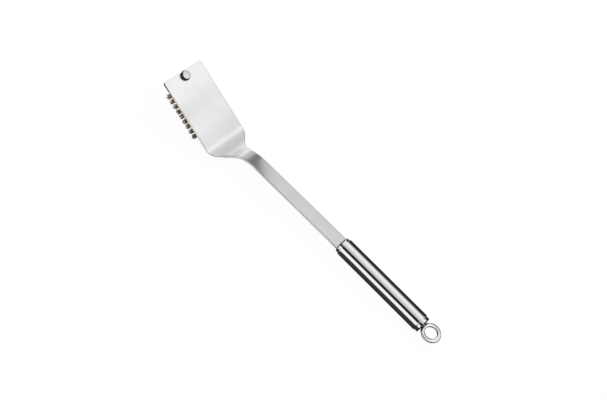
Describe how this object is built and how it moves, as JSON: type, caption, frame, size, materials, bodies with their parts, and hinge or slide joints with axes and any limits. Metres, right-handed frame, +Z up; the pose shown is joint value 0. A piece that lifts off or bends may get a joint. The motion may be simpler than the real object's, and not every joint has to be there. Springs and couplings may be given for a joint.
{
  "type": "grill cleaning brush",
  "caption": "Long steel grill brush: flat head plate on a cranked shaft, brass tufts under the head on a slide-on insert held by a domed thumb nut, round tube handle and hanging ring.",
  "frame": {"origin": "centre of the footprint on the table the brush lies on, tufts down", "axes": "+Z up, +X from the head to the hanging ring, the brush is symmetric about the XZ plane; the handle's axis falls 3.4 degrees towards the ring"},
  "size_m": [0.4506, 0.0626, 0.0637],
  "materials": {
    "satin_steel": "satin, fine brushed along the length",
    "polished_steel": "polished with a very fine turned grain",
    "chromed_nut": "bright polished dome over a blackened fluted side",
    "zinc_steel": "plain zinc plated",
    "brass": "drawn brass wire, slightly tarnished",
    "black_plastic": "moulded, fine matt texture"
  },
  "bodies": {
    "grip": {"blade": "satin_steel", "rear_hook": "satin_steel", "front_cap": "polished_steel", "handle_tube": "polished_steel", "rear_cap": "polished_steel", "hanging_ring": "polished_steel", "ring_nut": "zinc_steel"},
    "insert": {"carrier_plate": "satin_steel", "mount_stud": "zinc_steel", "bristle_block": "black_plastic", "block_screws": "zinc_steel", "tuft_staples": "brass", "bristle_row_1": "brass", "bristle_row_2": "brass", "bristle_row_3": "brass", "bristle_row_4": "brass", "bristle_row_5": "brass", "bristle_row_6": "brass", "bristle_row_7": "brass"},
    "washer": {"lock_washer": "zinc_steel"},
    "nut": {"thumb_nut": "chromed_nut"}
  },
  "joints": [
    {"name": "insert_slide", "type": "slide", "parent": "grip", "child": "insert", "axis": [-0.8882, 0, 0.4595], "range_m": [0, 0.1]},
    {"name": "washer_lift", "type": "slide", "parent": "insert", "child": "washer", "axis": [0.4595, 0, 0.8882], "range_m": [0, 0.003]},
    {"name": "nut_turn", "type": "hinge", "parent": "washer", "child": "nut", "pos_m": [-0.21805, 0, 0.05713], "axis": [0.4595, 0, 0.8882], "range_deg": [0, 1080.1]}
  ],
  "couplings": [
    {"joint": "nut_turn", "follows": "washer_lift", "rad_per_m": 6283.2}
  ]
}
